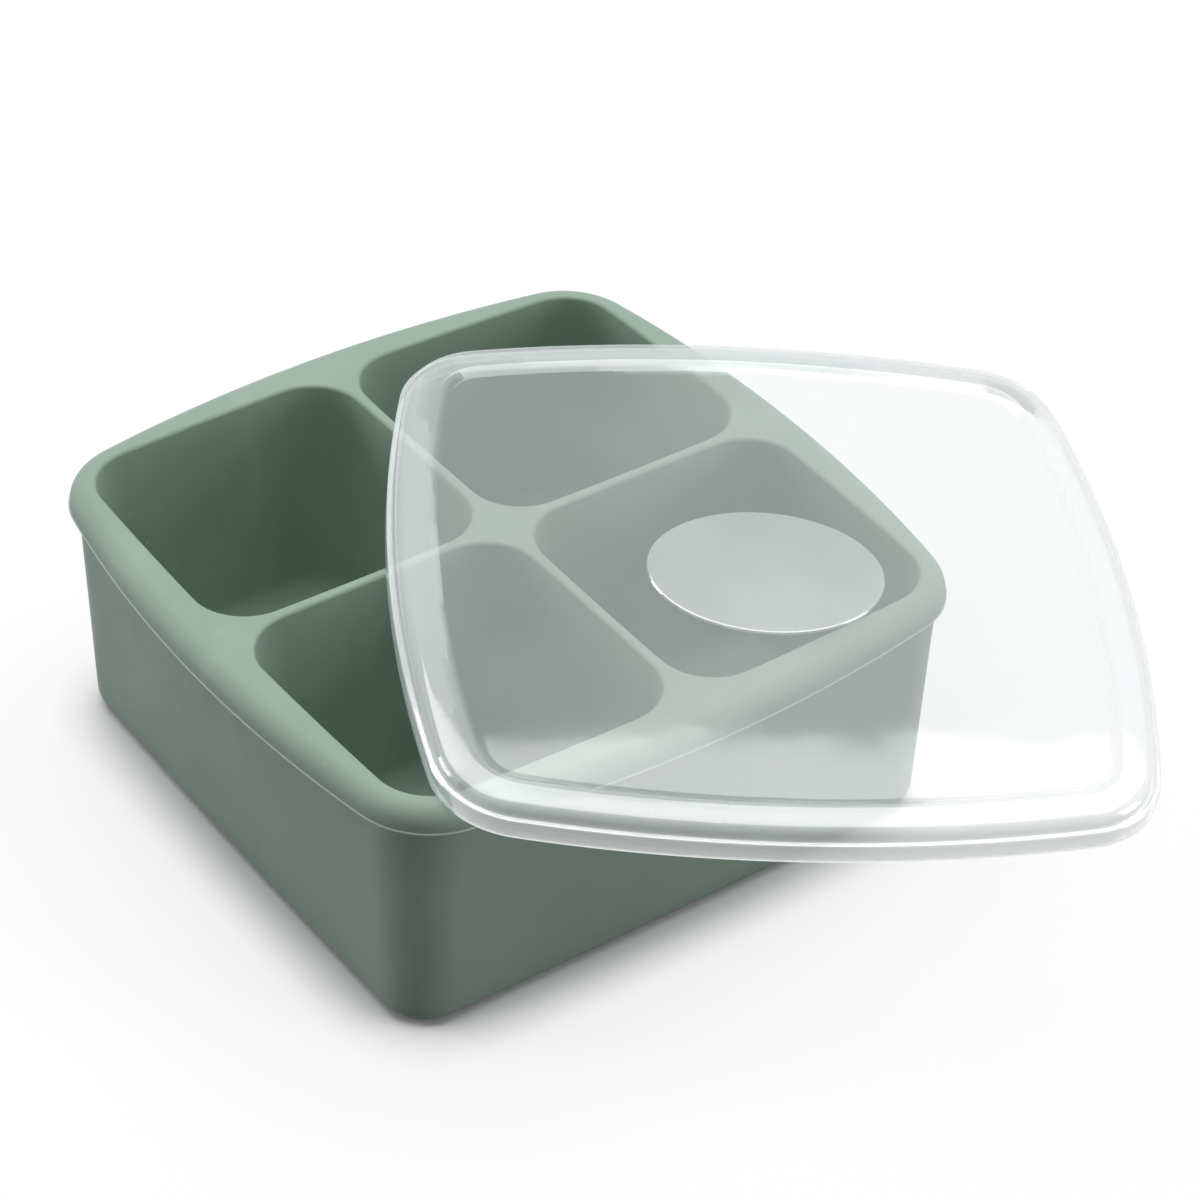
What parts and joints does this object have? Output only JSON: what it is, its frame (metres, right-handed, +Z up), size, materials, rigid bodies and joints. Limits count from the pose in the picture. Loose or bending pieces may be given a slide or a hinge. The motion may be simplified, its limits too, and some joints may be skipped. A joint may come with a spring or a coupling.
{
  "type": "silicone freezer tray with lid",
  "caption": "Square silicone freezer tray with deep rounded wells parted by a cross of thin dividers, and a clear shallow lid lying askew on its rim.",
  "frame": {"origin": "middle of the tray's underside, on the surface that it stands on", "axes": "+Z up, out of the wells; +X and +Y square to two neighbouring sides of the tray; the lid lies towards +X and -Y"},
  "size_m": [0.2176, 0.2337, 0.0804],
  "materials": {
    "silicone": "matte sage green silicone",
    "clear_lid": "clear, slightly milky moulded plastic"
  },
  "bodies": {
    "tray": {"tray": "silicone"},
    "lid": {"lid": "clear_lid"}
  },
  "joints": [
    {"name": "lid_lift", "type": "slide", "parent": "tray", "child": "lid", "axis": [0, 0, 1], "range_m": [0, 0.1]}
  ]
}
